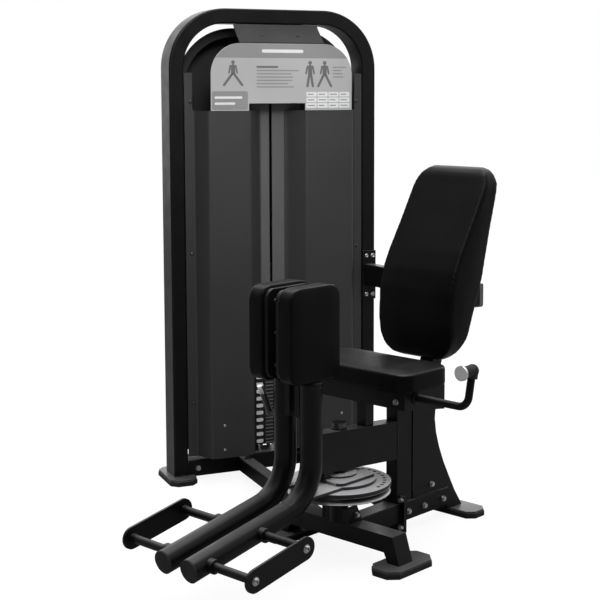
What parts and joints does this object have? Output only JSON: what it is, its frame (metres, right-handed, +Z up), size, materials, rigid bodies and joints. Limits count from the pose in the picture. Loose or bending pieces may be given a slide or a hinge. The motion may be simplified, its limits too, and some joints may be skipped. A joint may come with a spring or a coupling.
{
  "type": "seated hip adductor machine",
  "caption": "Seated inner thigh machine with swinging thigh pads and foot pegs, seat, backrest, side handles and a shrouded selector weight stack tower.",
  "frame": {"origin": "on the floor, in the underside of the seat frame's rear foot, on the machine's middle plane", "axes": "+Z up, the seated user faces -Y, the user's left is +X and the weight tower stands at the user's right (-X)"},
  "size_m": [1.4101, 1.5181, 1.612],
  "materials": {
    "black_frame": "satin powder coat",
    "charcoal_panel": "fine grain, matte",
    "grey_guard": "matte",
    "grey_placard": "matte",
    "polished_rod": "polished",
    "black_plates": "painted",
    "black_rubber": "matte",
    "nylon_wheel": "moulded",
    "coated_cable": "nylon coated",
    "grey_foot": "satin powder coat",
    "plated_steel": "zinc plated",
    "bare_aluminium": "turned",
    "black_vinyl": "grained vinyl"
  },
  "bodies": {
    "base": {"tower_frame": "black_frame", "tower_bottom_rail": "black_frame", "left_shroud": "charcoal_panel", "right_shroud": "charcoal_panel", "rear_cover": "charcoal_panel", "top_bridge_plate": "charcoal_panel", "placard": "grey_placard", "slot_guards": "grey_guard", "guide_rods": "polished_rod", "stack_bumpers": "black_rubber", "resting_plates": "black_plates", "top_pulley_bracket": "black_frame", "rear_cable": "coated_cable", "foot_plates": "grey_foot", "rubber_feet": "black_rubber", "link_beams": "black_frame", "cross_beam": "black_frame", "centre_rail": "black_frame", "rear_rail": "black_frame", "seat_post": "black_frame", "rear_column": "black_frame", "pivot_beam": "black_frame", "pivot_shaft": "plated_steel", "seat_support_post": "black_frame", "retaining_washer": "plated_steel", "seat_frame": "black_frame", "seat_pad": "black_vinyl", "backrest_upright": "black_frame", "backrest_board": "black_frame", "backrest_pad": "black_vinyl", "brace_bar": "black_frame", "handle_tubes": "black_frame", "handle_grips": "black_rubber", "grip_end_caps": "bare_aluminium", "frame_bolts": "plated_steel"},
    "lifted_stack": {"lifted_plates": "black_plates", "top_plate": "black_plates", "selector_stem": "polished_rod", "stack_cable": "coated_cable"},
    "selector_pin": {"selector_pin": "nylon_wheel"},
    "top_pulley": {"top_pulley": "nylon_wheel"},
    "bottom_pulley": {"bottom_pulley": "nylon_wheel"},
    "cam": {"cam_wheel": "plated_steel", "range_disc": "plated_steel"},
    "left_arm": {"left_arm_hub": "plated_steel", "left_arm_tube": "black_frame", "left_tube_cap": "black_rubber", "left_foot_pegs": "black_frame", "left_peg_plate": "black_frame", "left_pad_bracket": "black_frame", "left_thigh_pad": "black_vinyl"},
    "right_arm": {"right_arm_hub": "plated_steel", "right_arm_tube": "black_frame", "right_tube_cap": "black_rubber", "right_foot_pegs": "black_frame", "right_peg_plate": "black_frame", "right_pad_bracket": "black_frame", "right_thigh_pad": "black_vinyl"},
    "start_pin": {"start_pin": "plated_steel"},
    "release_lever": {"release_lever": "plated_steel"}
  },
  "joints": [
    {"name": "stack_lift", "type": "slide", "parent": "base", "child": "lifted_stack", "axis": [0, 0, 1], "range_m": [0, 0.12654], "deforming": ["stack_cable"]},
    {"name": "selector_pin_pull", "type": "slide", "parent": "lifted_stack", "child": "selector_pin", "axis": [0.9164, -0.4003, 0], "range_m": [0, 0.1]},
    {"name": "top_pulley_turn", "type": "hinge", "parent": "base", "child": "top_pulley", "pos_m": [-0.8224, -0.03198, 1.442], "axis": [-0.4003, -0.9164, 0], "range_deg": [0, 162]},
    {"name": "bottom_pulley_turn", "type": "hinge", "parent": "base", "child": "bottom_pulley", "pos_m": [-0.84348, -0.02277, 0.0985], "axis": [-0.4003, -0.9164, 0], "range_deg": [0, 331]},
    {"name": "cam_turn", "type": "hinge", "parent": "base", "child": "cam", "pos_m": [0, -0.549, 0.198], "axis": [0, 0, -1], "range_deg": [0, 50.5]},
    {"name": "left_arm_swing", "type": "hinge", "parent": "base", "child": "left_arm", "pos_m": [0, -0.549, 0.225], "axis": [0, 0, 1], "range_deg": [0, 50]},
    {"name": "right_arm_swing", "type": "hinge", "parent": "base", "child": "right_arm", "pos_m": [0, -0.549, 0.234], "axis": [0, 0, -1], "range_deg": [0, 50]},
    {"name": "start_pin_drop", "type": "slide", "parent": "right_arm", "child": "start_pin", "axis": [0, 0, -1], "range_m": [0, 0.013]},
    {"name": "release_lever_pull", "type": "hinge", "parent": "right_arm", "child": "release_lever", "pos_m": [-0.112, -0.718, 0.433], "axis": [-1, 0, 0], "range_deg": [0, 18]}
  ],
  "couplings": [
    {"joint": "top_pulley_turn", "follows": "stack_lift", "rad_per_m": 22.222},
    {"joint": "bottom_pulley_turn", "follows": "stack_lift", "rad_per_m": 45.455},
    {"joint": "cam_turn", "follows": "stack_lift", "rad_per_m": 6.8966},
    {"joint": "right_arm_swing", "follows": "left_arm_swing", "ratio": 1}
  ]
}
